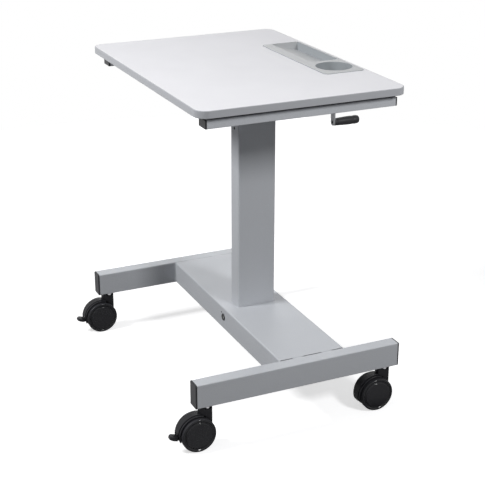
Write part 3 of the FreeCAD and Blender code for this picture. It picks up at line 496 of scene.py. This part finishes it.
# Glass-filled black nylon, moulded: satin near-black with a fine grain, as on furniture casters.
# The grain is about 0.4 mm on the real part; it is drawn 1 mm wide so that it shows.
grain = 1.0 * MM
caster_nylon = make_finish("moulded_black_nylon", (grain, 2.0, "#0B0B0F", "#222226"),
                           relief=(grain, 2.0, 0.4, 0.1 * MM),
                           surface={"Roughness": 0.44, "Specular IOR Level": 0.2})
for name in caster_names:
    row = name.split("_")[0]
    hub = wheel_hub(name)
    wheel_radius = hub.z
    outer = wheel_radius + fender_height
    inner = outer - fender_thickness
    half_section = [(fender_half, inner), (fender_half, outer - fender_step - 0.8 * MM),
                    (fender_half - 0.8 * MM, outer - fender_step), (groove_out, outer - fender_step),
                    (groove_out - 0.3 * MM, outer - groove_depth),
                    (groove_in + 0.3 * MM, outer - groove_depth),
                    (groove_in, outer - 0.5 * MM), (groove_in - 0.5 * MM, outer)]
    fender_section = half_section + [(-sideways, radius) for sideways, radius in reversed(half_section)]
    bm = arc_bar(fender_section, hub, fender_start, fender_end[row], 32)
    web_section = [(-web_half, 6.0 * MM), (web_half, 6.0 * MM), (web_half, inner + 1.0 * MM),
                   (-web_half, inner + 1.0 * MM)]
    add_to(bm, arc_bar(web_section, hub, 60.0, fender_end[row], 32))
    boss_outline = [(-web_half, 0, 0), (-web_half, boss_radius, 1.0 * MM),
                    (web_half, boss_radius, 1.0 * MM), (web_half, 0, 0)]
    add_to(bm, lathe(boss_outline, hub, X_AXIS, 32))
    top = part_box("hood_" + name)[1].z
    seat = foot_low.z - stem_dip
    block_outline = [(-20.0 * MM, saddle_foot, 0), (9.8 * MM, saddle_foot, 0), (9.8 * MM, top, 0.6 * MM),
                     (8.3 * MM, top, 0.5 * MM), (7.9 * MM, seat, 0), (-7.9 * MM, seat, 0),
                     (-8.4 * MM, top, 0.8 * MM), (-20.0 * MM, top, 2.5 * MM)]
    add_to(bm, cut_plate(block_outline, Vector((hub.x - web_half, hub.y + stem_inset, 0)), Y_AXIS, Z_AXIS,
                         X_AXIS * 2 * web_half, hood_edge))
    if row == "front":
        cheek_top = outer - fender_step
        for cheek in (-fender_half, fender_half - cheek_width):
            cheek_section = [(cheek, inner), (cheek + cheek_width, inner),
                             (cheek + cheek_width, cheek_top), (cheek, cheek_top)]
            add_to(bm, arc_bar(cheek_section, hub, fender_end[row] - 1.0, cheek_end, 8))
        pivot = lever_pivot(hub)
        for ear_x in (-web_half, web_half - ear_width):
            ear_start = pivot + X_AXIS * ear_x
            ear_outline = [(0, 0, 0), (0, ear_radius, 0.4 * MM), (ear_width, ear_radius, 0.4 * MM),
                           (ear_width, 0, 0)]
            add_to(bm, lathe(ear_outline, ear_start, X_AXIS, 28))
            rib_section = [(ear_x, 28.0 * MM), (ear_x + ear_width, 28.0 * MM),
                           (ear_x + ear_width, 39.0 * MM), (ear_x, 39.0 * MM)]
            add_to(bm, arc_bar(rib_section, hub, 160.0, 192.0, 10))
    hood = make_piece(bm, "caster_hood_" + name, caster_nylon)
    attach(hood, "swivel_" + name)
    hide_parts("hood_" + name)


# ---- Caster wheels ------------------------------------------------------------------------------
# Two solid moulded wheels on each caster: a crowned tread, a rounded shoulder and rim, a shallow groove
# inside the rim, and a large smooth cap with a rounded edge.
rim_width = 4.6 * MM
rim_set = 0.8 * MM  # the rim stands this far behind the cap
groove_sink = 2.6 * MM
cap_radius = 31.8 * MM
shoulder = 3.0 * MM

# Smooth black nylon: a dark, slightly blue cap and rim with a soft polish that catches the lamps.
disc_nylon = make_finish("smooth_black_nylon", (7 * MM, 5.0, "#0E0E12", "#1B1B22"),
                         sheen=(7 * MM, 5.0, 0.08, 0.12), surface={"Specular IOR Level": 0.3})
# The tread: a softer, paler black with a dull finish, roughened by its moulded cross ribs 1.5 mm apart.
# Part of its paleness is painted light, which lifts the tread out of the fender's shade.
rib_gap = 1.5 * MM
tread = make_finish("dull_black_tread", (rib_gap, 2.0, "#101014", "#3E3E42"),
                    relief=(rib_gap, 2.0, 0.5, 0.2 * MM),
                    surface={"Roughness": 0.6, "Specular IOR Level": 0.2})
for name in caster_names:
    hub = wheel_hub(name)
    for letter, side in (("a", -1), ("b", 1)):
        wheel_low, wheel_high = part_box(f"wheel_{name}_{letter}")
        near = min(abs(wheel_low.x - hub.x), abs(wheel_high.x - hub.x))
        far = max(abs(wheel_low.x - hub.x), abs(wheel_high.x - hub.x))
        radius = (wheel_high.z - wheel_low.z) / 2
        wheel_outline = [(near, 0, 0), (near, radius - 1.0 * MM, 0), (near + 1.0 * MM, radius, 0.6 * MM),
                         (far - shoulder, radius, 1.0 * MM), (far - rim_set, radius - 1.5 * MM, 0.9 * MM),
                         (far - rim_set, radius - rim_width, 0.9 * MM),
                         (far - groove_sink, cap_radius + 3.4 * MM, 0.6 * MM),
                         (far - groove_sink, cap_radius + 1.8 * MM, 0.4 * MM), (far, cap_radius, 1.5 * MM),
                         (far - 0.4 * MM, 0, 0)]
        wheel = make_piece(lathe(wheel_outline, hub, X_AXIS * side, 72), f"caster_wheel_{name}_{letter}",
                           disc_nylon)
        wheel.data.materials.append(tread)
        for polygon in wheel.data.polygons:
            arm_out = polygon.center - hub
            arm_out.x = 0
            polygon.material_index = 1 if arm_out.length > radius - 0.8 * MM else 0
        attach(wheel, f"roller_{name}_{letter}")
        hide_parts(f"wheel_{name}_{letter}")


# ---- Brake levers -------------------------------------------------------------------------------
# A moulded foot lever hinged in the ears of each front caster. Its neck sits between the ears and it
# widens to a ribbed paddle for the shoe.
paddle_half = 12.0 * MM
paddle_thickness = 8.2 * MM
paddle_sink = 4.7 * MM  # its underside lies this far below the hinge's middle
paddle_tip = 3.2 * MM  # it reaches this far past the point that its direction is taken from
lever_reach = 63.0 * MM  # of that point in front of the axle
hinge_radius = 4.5 * MM
hinge_pin_radius = 2.0 * MM
rib_height = 0.7 * MM
rib_pitch = 4.0 * MM

for side in ("left", "right"):
    name = "front_" + side
    hub = wheel_hub(name)
    pivot = lever_pivot(hub)
    tip = hub - Y_AXIS * lever_reach
    along = (tip - pivot).normalized()
    up = X_AXIS.cross(along) * -1
    reach = (tip - pivot).length
    neck_half = web_half - 2.3 * MM
    barrel = [(-neck_half, 0, 0), (-neck_half, hinge_radius, 0.4 * MM), (neck_half, hinge_radius, 0.4 * MM),
              (neck_half, 0, 0)]
    bm = lathe(barrel, pivot, X_AXIS, 28)
    pin_half = web_half + 0.1 * MM
    hinge_pin = [(-pin_half, 0, 0), (-pin_half, hinge_pin_radius, 0), (pin_half, hinge_pin_radius, 0),
                 (pin_half, 0, 0)]
    add_to(bm, lathe(hinge_pin, pivot, X_AXIS, 20))
    neck_outline = [(0, -3.2 * MM, 0), (12.0 * MM, -3.6 * MM, 0), (12.0 * MM, 2.6 * MM, 0),
                    (0, 3.2 * MM, 0)]
    add_to(bm, cut_plate(neck_outline, pivot - X_AXIS * neck_half, along, up, X_AXIS * 2 * neck_half))
    paddle_end = reach + paddle_tip
    tongue = [(-paddle_half, 8.2 * MM, 3.0 * MM), (paddle_half, 8.2 * MM, 3.0 * MM),
              (paddle_half, paddle_end, 9.5 * MM), (-paddle_half, paddle_end, 9.5 * MM)]
    add_to(bm, cut_plate(tongue, pivot - up * paddle_sink, X_AXIS, along, up * paddle_thickness, 2.4 * MM))
    for i in range(4):
        foot_height = paddle_thickness - paddle_sink - 0.6 * MM
        foot_of_rib = pivot + along * (reach - 2.0 * MM - i * rib_pitch) + up * foot_height
        rib_half = paddle_half - (4.5 * MM if i == 0 else 3.0 * MM)
        rib_top = rib_height + 0.6 * MM
        bar = [(0, 0, 0), (0, rib_top, 0.3 * MM), (-1.2 * MM, rib_top, 0.3 * MM), (-1.2 * MM, 0, 0)]
        add_to(bm, cut_plate(bar, foot_of_rib - X_AXIS * rib_half, along, up, X_AXIS * 2 * rib_half))
    lever = make_piece(bm, "brake_lever_" + side, caster_nylon)
    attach(lever, "lever_" + name)
    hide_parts("brake_" + name)


# ---- Hidden steel of the base -------------------------------------------------------------------
# Stiffener plate, bolts, bushes and axles inside the base, all zinc plated, and black snap-in plugs
# that close the bolts' access holes from below.
dress(zinc, "beam_stiffener", "base_bolts", "caster_sockets", "column_foot_plate", "nut_tube",
      "table_screws")
dress(zinc, *("axle_" + name for name in caster_names))
dress(black_plastic, "access_plugs")


# ---- Lifting column, saddle and cross tubes -----------------------------------------------------
# The inner tube carries a folded steel saddle, and two tubes welded across the saddle's legs run out
# to the rails. All of it has the same powder coat as the base.
cross_corner = 1.5 * MM
cross_wall = 1.5 * MM

dress(coat, "inner_column", "head_bracket", "crank_tube")
tubes_low, tubes_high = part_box("cross_tubes")
saddle_low, saddle_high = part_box("head_bracket")
for place_name, y0, y1 in (("front", tubes_low.y, saddle_low.y), ("back", saddle_high.y, tubes_high.y)):
    cross_low = Vector((tubes_low.x, y0, tubes_low.z))
    cross_high = Vector((tubes_high.x, y1, tubes_high.z))
    cross = make_piece(tube(cross_low, cross_high, X_AXIS, cross_corner), "cross_tube_" + place_name, coat,
                       wall=cross_wall)
    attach(cross, "lift")
    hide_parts("cross_tubes")


# ---- Screw drive --------------------------------------------------------------------------------
# A cast gearbox on the saddle turns the crank's motion down into the lead screw in the column.
# Cast aluminium box, turned steel screw, shaft and gears, and a brass nut.

# Gravity cast aluminium, left as cast: pale, dull and slightly grainy.
grain = 1.5 * MM
cast = make_finish("cast_aluminium", (grain, 4.0, "#8A8B8D", "#C3C4C6"),
                   relief=(grain, 4.0, 0.5, 0.15 * MM), surface={"Metallic": 1.0, "Roughness": 0.55})
# Turned metal under a film of oil: fine turning marks and a low sheen.
marks = 1.2 * MM
steel = make_finish("turned_steel", (marks, 2.0, "#797A7F", "#ABACB0"),
                    surface={"Metallic": 1.0, "Roughness": 0.34})
brass = make_finish("turned_brass", (marks, 2.0, "#AA8638", "#CDAA5B"),
                    surface={"Metallic": 1.0, "Roughness": 0.34})
dress(cast, "gearbox_housing", "gearbox_cover")
dress(steel, "lead_screw", "screw_gear", "crank_shaft", "crank_gear", "screw_bearing")
dress(brass, "lift_nut")


# ---- Rails under the top ------------------------------------------------------------------------
# A flat rectangular steel tube under each side of the top, coated like the base, with a black plug in
# each end. Black strips on the rails hold the top clear, which leaves a dark line under it.
rail_corner = 1.5 * MM
rail_wall = 1.5 * MM
strip_edge = 0.6 * MM
strip_width = 24.0 * MM

rail_caps_low, rail_caps_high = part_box("rail_end_caps")
strips_low, strips_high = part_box("rail_spacers")
for side, sign in (("left", -1), ("right", 1)):
    rail_low, rail_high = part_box("rail_" + side)
    rail = make_piece(tube(rail_low, rail_high, Y_AXIS, rail_corner), "rail_tube_" + side, coat,
                      wall=rail_wall)
    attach(rail, "lift")
    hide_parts("rail_" + side)
    for place_name, end, outwards in (("front", rail_caps_low.y, -1), ("back", rail_caps_high.y, 1)):
        plug = make_piece(end_plug(rail_low, rail_high, end, outwards, rail_corner, rail_wall),
                          f"rail_plug_{place_name}_{side}", black_plastic)
        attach(plug, "lift")
        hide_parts("rail_end_caps")
    outer_x = strips_high.x if sign > 0 else strips_low.x
    inner_x = outer_x - sign * strip_width
    bm = block(Vector((min(outer_x, inner_x), strips_low.y, strips_low.z)),
               Vector((max(outer_x, inner_x), strips_high.y, strips_high.z)))
    round_edges(bm, edges_along(bm, Y_AXIS), strip_edge, 2)
    strip = make_piece(bm, "spacer_strip_" + side, black_plastic)
    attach(strip, "lift")
    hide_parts("rail_spacers")


# ---- Board of the top ---------------------------------------------------------------------------
# Chipboard with white melamine laminate pressed on its face and a plain white backing sheet below.
# The face has a faint pearl texture and a soft satin sheen.
def chipboard():
    """Raw chipboard: flakes of pale and brown wood, 2 to 4 mm long, in a dull matt surface."""
    material, tree, place = blank_material("raw_chipboard")
    flakes = add_node(tree, "ShaderNodeTexVoronoi", {"Scale": 1 / (3 * MM)}, {"Vector": place})
    colour = add_node(tree, "ShaderNodeMix",
                      {"data_type": "RGBA", "A": hex_colour("#8F7248"), "B": hex_colour("#CDB083")},
                      {"Factor": flakes.outputs["Color"]})
    bump = add_node(tree, "ShaderNodeBump", {"Strength": 0.4, "Distance": 0.3 * MM},
                    {"Height": flakes.outputs["Distance"]})
    shader = add_node(tree, "ShaderNodeBsdfPrincipled", {"Roughness": 0.85, "IOR": 1.45},
                      {"Base Color": colour.outputs["Result"], "Normal": bump.outputs["Normal"]})
    add_node(tree, "ShaderNodeOutputMaterial", links={"Surface": shader.outputs["BSDF"]})
    return material


# White melamine laminate: a clean cool white, a dull satin, with a pearl texture.
# The pearls are about 0.8 mm on the real sheet; they are drawn 1.8 mm wide so that they show.
laminate = make_finish("white_melamine_laminate", (120 * MM, 2.0, "#ECECF0", "#F3F3F7"),
                       relief=(1.8 * MM, 1.0, 0.2, 0.05 * MM),
                       surface={"Roughness": 0.65, "Specular IOR Level": 0.2})
dress(laminate, "table_laminate", "table_backer")
dress(chipboard(), "table_core")


# ---- Edge band ----------------------------------------------------------------------------------
# A 2 mm silver-grey plastic band glued round the board, flush with the laminate, with its outer
# arrises scraped to a small radius.
band_arris = 1.2 * MM
band_thickness = 2.0 * MM
band_corner = 28.0 * MM

# Silver-grey extruded plastic edging: an even satin grey with faint lines along the extrusion.
edging = make_finish("grey_plastic_edging", (40 * MM, 3.0, "#AAACB0", "#B8BAC0"),
                     stretch=(1.0, 1.0, 30.0), surface={"Roughness": 0.45, "IOR": 1.53})

band_low, band_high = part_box("edge_band")
bm = block(band_low, band_high)
round_edges(bm, edges_along(bm, Z_AXIS), band_corner, 16)
caps = faces_towards(bm, Z_AXIS) + faces_towards(bm, -Z_AXIS)
round_edges(bm, [e for f in caps for e in f.edges], band_arris, 4)
caps = faces_towards(bm, Z_AXIS) + faces_towards(bm, -Z_AXIS)
for cap in caps:
    bmesh.ops.inset_region(bm, faces=[cap], thickness=band_thickness - band_arris, depth=0.0)
rims = list({e for f in caps for e in f.edges})
bmesh.ops.delete(bm, geom=caps, context="FACES_ONLY")
bmesh.ops.bridge_loops(bm, edges=rims)
band = make_piece(bm, "edge_band_strip", edging)
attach(band, "lift")
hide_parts("edge_band")


# ---- Tray ---------------------------------------------------------------------------------------
# One light grey moulding let into the back of the top: a thin rim, a long recess for pens with a floor
# that falls towards the back, and a round well for a cup. Walls are even and all edges softened.
tray_wall = 2.5 * MM
tray_corner = 12.0 * MM
tray_edge = 0.9 * MM
recess_side = 3.5 * MM
recess_back = 5.0 * MM
recess_length = 220.0 * MM
recess_depth = 75.0 * MM
recess_front_drop = 2.0 * MM
recess_back_drop = 20.0 * MM
recess_corner = 4.0 * MM


def moulded_abs(name, dark, light):
    """Moulded light grey ABS with a fine matt grain; used darker, it is painted shade on the walls.

    The grain is about 0.3 mm on the real tray; it is drawn 1 mm wide so that it shows.
    """
    return make_finish(name, (1.0 * MM, 2.0, dark, light), relief=(1.0 * MM, 2.0, 0.25, 0.08 * MM),
                       surface={"Roughness": 0.5, "IOR": 1.53})


tray_low, tray_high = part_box("pen_tray")
laminate_low, laminate_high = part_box("table_laminate")
surface = laminate_high.z
cup = frame["record"]["mounts"][1]
cup_centre = Vector(cup["pos_m"])
cup_radius = cup["dims"]["r_mm"] * MM
cup_depth = cup["dims"]["length_mm"] * MM
recess_low = Vector((tray_low.x + recess_side, tray_high.y - recess_back - recess_depth, tray_high.z))
recess_high = Vector((recess_low.x + recess_length, tray_high.y - recess_back, tray_high.z))


def flat_loop(low, high, corner, z):
    """A closed rounded rectangle of edges at a height."""
    loop = bmesh.new()
    bmesh.ops.create_grid(loop, x_segments=1, y_segments=1, size=0.5)
    bmesh.ops.scale(loop, vec=(high.x - low.x, high.y - low.y, 1.0), verts=loop.verts)
    bmesh.ops.translate(loop, vec=((low.x + high.x) / 2, (low.y + high.y) / 2, z), verts=loop.verts)
    bmesh.ops.bevel(loop, geom=loop.verts[:], offset=corner, offset_type="OFFSET", affect="VERTICES",
                    segments=6, profile=0.5, material=-1)
    bmesh.ops.delete(loop, geom=loop.faces[:], context="FACES_ONLY")
    return loop


def sink_loop(bm, loop_edges, height_at):
    """Extrudes a loop of edges straight down to a height that may vary, and returns the new loop."""
    grown = bmesh.ops.extrude_edge_only(bm, edges=loop_edges)["geom"]
    for vert in (v for v in grown if isinstance(v, bmesh.types.BMVert)):
        vert.co.z = height_at(vert.co)
    return [e for e in grown if isinstance(e, bmesh.types.BMEdge)]


def recess_floor(point):
    """Height of the recess's floor, which falls from front to back."""
    share = (point.y - recess_low.y) / recess_depth
    return surface - recess_front_drop - (recess_back_drop - recess_front_drop) * share


bm = flat_loop(tray_low, tray_high, tray_corner, tray_high.z)
rim_edges = bm.edges[:]
known = set(rim_edges)
add_to(bm, flat_loop(recess_low, recess_high, recess_corner, tray_high.z))
recess_edges = [e for e in bm.edges if e not in known]
well = bmesh.ops.create_circle(bm, cap_ends=False, segments=72, radius=cup_radius,
                               matrix=Matrix.Translation(cup_centre))
well_edges = list({e for v in well["verts"] for e in v.link_edges})
bmesh.ops.triangle_fill(bm, use_beauty=True, use_dissolve=False, edges=bm.edges[:])
floor_edges = sink_loop(bm, recess_edges, recess_floor)
bmesh.ops.edgeloop_fill(bm, edges=floor_edges)
bottom_edges = sink_loop(bm, well_edges, lambda point: tray_high.z - cup_depth)
bmesh.ops.edgeloop_fill(bm, edges=bottom_edges)
sink_loop(bm, rim_edges, lambda point: laminate_low.z)
bmesh.ops.recalc_face_normals(bm, faces=bm.faces)
tray = make_piece(bm, "pen_and_cup_tray", moulded_abs("moulded_grey_abs", "#B4B6B8", "#C7C9CB"))
# Painted shade: the walls of the recess and cup, and a shadow line round the rim, get the darker ABS.
tray.data.materials.append(moulded_abs("grey_abs_painted_shade", "#989DA1", "#AAAFB3"))
for polygon in tray.data.polygons:
    end_wall = abs(polygon.normal.x) > 0.9 and polygon.center.x < cup_centre.x - cup_radius
    polygon.material_index = 1 if abs(polygon.normal.z) < 0.3 and not end_wall else 0
softened = tray.modifiers.new("softened edges", "BEVEL")
softened.width = tray_edge
softened.segments = 3
softened.limit_method = "ANGLE"
softened.angle_limit = math.radians(40)
thickness = tray.modifiers.new("moulded wall", "SOLIDIFY")
thickness.thickness = tray_wall
thickness.offset = -1.0
tray.modifiers.move(0, 2)
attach(tray, "lift")
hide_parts("pen_tray")


# ---- Crank arm ----------------------------------------------------------------------------------
# A flat steel bar with round ends, pressed on the shaft and hanging behind the back edge. It and the
# pin that is riveted through its lower end have a dull zinc plate.
arm_edge = 0.6 * MM

arm_low, arm_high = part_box("crank_arm")
arm_half = (arm_high.x - arm_low.x) / 2
end_rounding = arm_half * 0.98
arm_centre = (arm_low + arm_high) / 2
arm_outline = [(-arm_half, arm_low.z, end_rounding), (arm_half, arm_low.z, end_rounding),
               (arm_half, arm_high.z, end_rounding), (-arm_half, arm_high.z, end_rounding)]

# Dull grey zinc plate on hot rolled bar: a mid grey metal with a faint rolled grain along the bar.
bar_plate = make_finish("dull_zinc_bar", (1.5 * MM, 3.0, "#717275", "#A3A4A7"), stretch=(1.0, 1.0, 0.1),
                        surface={"Metallic": 0.7, "Roughness": 0.45})
arm = make_piece(cut_plate(arm_outline, Vector((arm_centre.x, arm_low.y, 0)), X_AXIS, Z_AXIS,
                           Y_AXIS * (arm_high.y - arm_low.y), arm_edge), "crank_arm_bar", bar_plate)
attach(arm, "crank")
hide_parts("crank_arm")
dress(bar_plate, "grip_spindle")


# ---- Crank grip ---------------------------------------------------------------------------------
# A black moulded grip that turns on a headed pin. It has a collar next to the arm, swells towards its
# end and closes in a rounded bead round the sunk head of the pin.
grip_low, grip_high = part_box("crank_grip")
grip_length = grip_high.y - grip_low.y
grip_radius = (grip_high.x - grip_low.x) / 2
grip_start = Vector(((grip_low.x + grip_high.x) / 2, grip_low.y, (grip_low.z + grip_high.z) / 2))
bead_radius = grip_radius + 1.0 * MM
pin_bore = 4.1 * MM
well_radius = 6.3 * MM
well_floor = grip_length - 7.3 * MM
grip_outline = [(0, pin_bore, 0), (0, 9.4 * MM, 0.8 * MM), (4.5 * MM, 9.6 * MM, 0.5 * MM),
                (5.2 * MM, 9.1 * MM, 0), (6.2 * MM, 9.1 * MM, 0), (7.0 * MM, 9.7 * MM, 0.4 * MM),
                (18.0 * MM, 10.2 * MM, 4 * MM), (36.0 * MM, 11.0 * MM, 6 * MM),
                (50.0 * MM, 10.8 * MM, 3 * MM), (53.0 * MM, 10.4 * MM, 0.5 * MM),
                (55.5 * MM, bead_radius, 1.5 * MM), (64.0 * MM, bead_radius, 4 * MM),
                (grip_length, 9.3 * MM, 1.5 * MM), (grip_length, well_radius, 0.5 * MM),
                (well_floor, well_radius, 0), (well_floor, pin_bore, 0), (0, pin_bore, 0)]
grip = make_piece(lathe(grip_outline, grip_start, Y_AXIS, 40), "crank_grip_handle", black_plastic)
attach(grip, "grip")
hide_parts("crank_grip")


# ---- Studio -------------------------------------------------------------------------------------
# A pale matt floor that runs out to white, soft boxes in front, at the right and low at the back left,
# and a long lens at about the height of a standing person's eyes.
floor_radius = 2.4
floor_glow = 0.62  # added for the camera alone, so that the floor runs out to white
ambient = 0.17  # the world's strength as plain light; the camera and reflections see it at 1.0
look_at = (0, 0, 0.4)


def studio_floor():
    """Pale matt floor: white where nothing shades it, with the desk's soft shadow left on it."""
    material, tree, place = blank_material("pale_floor")
    mottle = add_node(tree, "ShaderNodeTexNoise", {"Scale": 1 / (300 * MM), "Detail": 2.0},
                      {"Vector": place})
    colour = add_node(tree, "ShaderNodeMix",
                      {"data_type": "RGBA", "A": hex_colour("#E1E1E2"), "B": hex_colour("#EBEBEC")},
                      {"Factor": mottle.outputs["Fac"]})
    # Light that bounces off the floor uses a darker tone, so that the desk's shaded sides stay dark.
    rays = add_node(tree, "ShaderNodeLightPath")
    seen = add_node(tree, "ShaderNodeMath", {"operation": "MAXIMUM"},
                    {0: rays.outputs["Is Camera Ray"], 1: rays.outputs["Is Glossy Ray"]})
    bounce = add_node(tree, "ShaderNodeMix", {"data_type": "RGBA", "A": hex_colour("#5A5A5B")},
                      {"Factor": seen.outputs["Value"], "B": colour.outputs["Result"]})
    matt = add_node(tree, "ShaderNodeBsdfDiffuse", {"Roughness": 0.5}, {"Color": bounce.outputs["Result"]})
    lift = add_node(tree, "ShaderNodeMath", {"operation": "MULTIPLY", 1: floor_glow},
                    {0: rays.outputs["Is Camera Ray"]})
    glow = add_node(tree, "ShaderNodeEmission", {"Color": (1, 1, 1, 1)},
                    {"Strength": lift.outputs["Value"]})
    both = add_node(tree, "ShaderNodeAddShader",
                    links={0: matt.outputs["BSDF"], 1: glow.outputs["Emission"]})
    add_node(tree, "ShaderNodeOutputMaterial", links={"Surface": both.outputs["Shader"]})
    return material


bm = bmesh.new()
bmesh.ops.create_circle(bm, cap_ends=True, segments=96, radius=floor_radius)
floor_mesh = bpy.data.meshes.new("studio_floor")
bm.to_mesh(floor_mesh)
bm.free()
floor_mesh.materials.append(studio_floor())
floor = bpy.data.objects.new("studio_floor", floor_mesh)
bpy.context.scene.collection.objects.link(floor)

world = bpy.data.worlds.new("studio")
world.use_nodes = True
tree = world.node_tree
tree.nodes.clear()
rays = add_node(tree, "ShaderNodeLightPath")
sees = add_node(tree, "ShaderNodeMath", {"operation": "MAXIMUM"},
                {0: rays.outputs["Is Camera Ray"], 1: rays.outputs["Is Glossy Ray"]})
sees = add_node(tree, "ShaderNodeMath", {"operation": "MAXIMUM"},
                {0: sees.outputs["Value"], 1: rays.outputs["Is Transmission Ray"]})
strength = add_node(tree, "ShaderNodeMapRange", {"To Min": ambient, "To Max": 1.0},
                    {"Value": sees.outputs["Value"]})
background = add_node(tree, "ShaderNodeBackground", {"Color": (1, 1, 1, 1)},
                      {"Strength": strength.outputs["Result"]})
add_node(tree, "ShaderNodeOutputWorld", links={"Surface": background.outputs["Background"]})
bpy.context.scene.world = world


def soft_lamp(name, place, target, size, watts):
    """A square soft box at a place, turned towards a target."""
    lamp = bpy.data.lights.new(name, "AREA")
    lamp.size = size
    lamp.energy = watts
    stand = bpy.data.objects.new(name, lamp)
    stand.location = place
    stand.rotation_euler = (Vector(target) - Vector(place)).to_track_quat("-Z", "Y").to_euler()
    bpy.context.scene.collection.objects.link(stand)


soft_lamp("key_from_front", (-0.3, -2.25, 2.4), look_at, 0.6, 65)
soft_lamp("side_from_right", (2.4, 0.8, 2.1), look_at, 0.5, 36)
soft_lamp("fill_from_back_left", (-2.4, 1.0, 0.7), look_at, 1.0, 8)

lens = bpy.data.cameras.new("camera")
lens.sensor_width = 36.0
lens.lens = 89.9
camera = bpy.data.objects.new("camera", lens)
camera.location = (2.60227, -1.17806, 1.46875)
camera.rotation_euler = (math.radians(90 - 21.57), 0, math.radians(65.49))
bpy.context.scene.collection.objects.link(camera)
bpy.context.scene.camera = camera
bpy.context.scene.view_settings.view_transform = "Standard"
